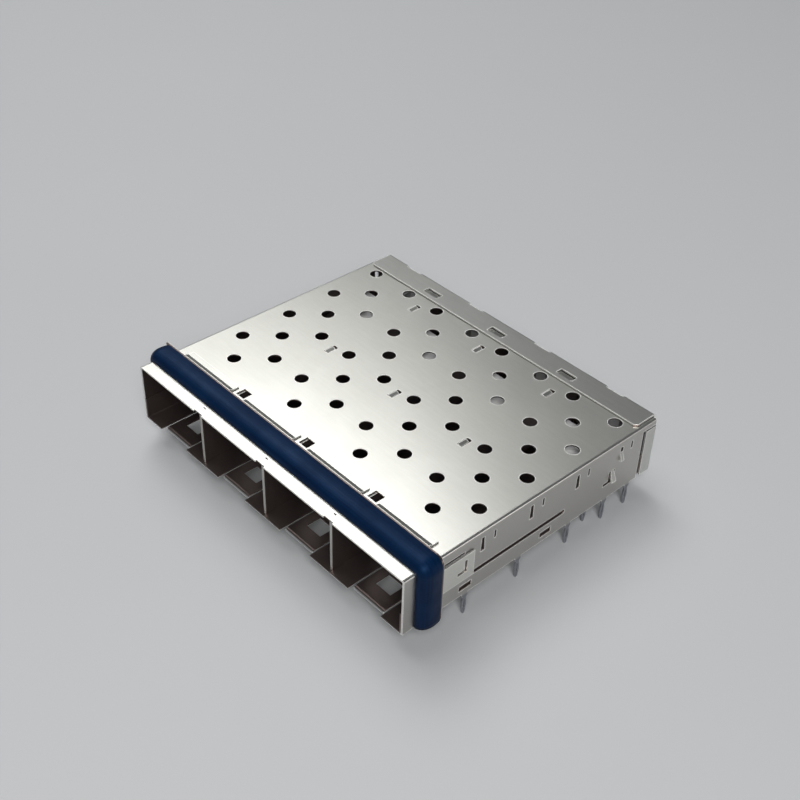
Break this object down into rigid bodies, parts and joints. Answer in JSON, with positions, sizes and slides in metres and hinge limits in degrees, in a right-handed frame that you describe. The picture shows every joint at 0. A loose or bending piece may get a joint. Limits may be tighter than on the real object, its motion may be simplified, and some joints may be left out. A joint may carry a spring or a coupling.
{
  "type": "ganged transceiver cage",
  "caption": "Folded sheet-metal cage with side-by-side ports for pluggable optical modules, a perforated top, press-fit pins and an elastomer gasket round its nose.",
  "frame": {"origin": "middle of the footprint, on the face that sits on the circuit board; the pins reach below it", "axes": "+X runs across the ports, +Y from the nose to the back wall, +Z away from the board"},
  "size_m": [0.0604, 0.0488, 0.0148],
  "materials": {
    "shell_metal": "satin cold-rolled nickel silver",
    "spring_metal": "bright spring strip",
    "gasket_rubber": "matte conductive elastomer"
  },
  "bodies": {
    "root": {"cover": "shell_metal", "base": "shell_metal", "rear_cover": "shell_metal", "flange": "shell_metal", "gasket": "gasket_rubber", "divider_1": "shell_metal", "divider_2": "shell_metal", "divider_3": "shell_metal", "kickout_spring_1": "spring_metal", "kickout_spring_2": "spring_metal", "kickout_spring_3": "spring_metal", "kickout_spring_4": "spring_metal"}
  },
  "joints": []
}
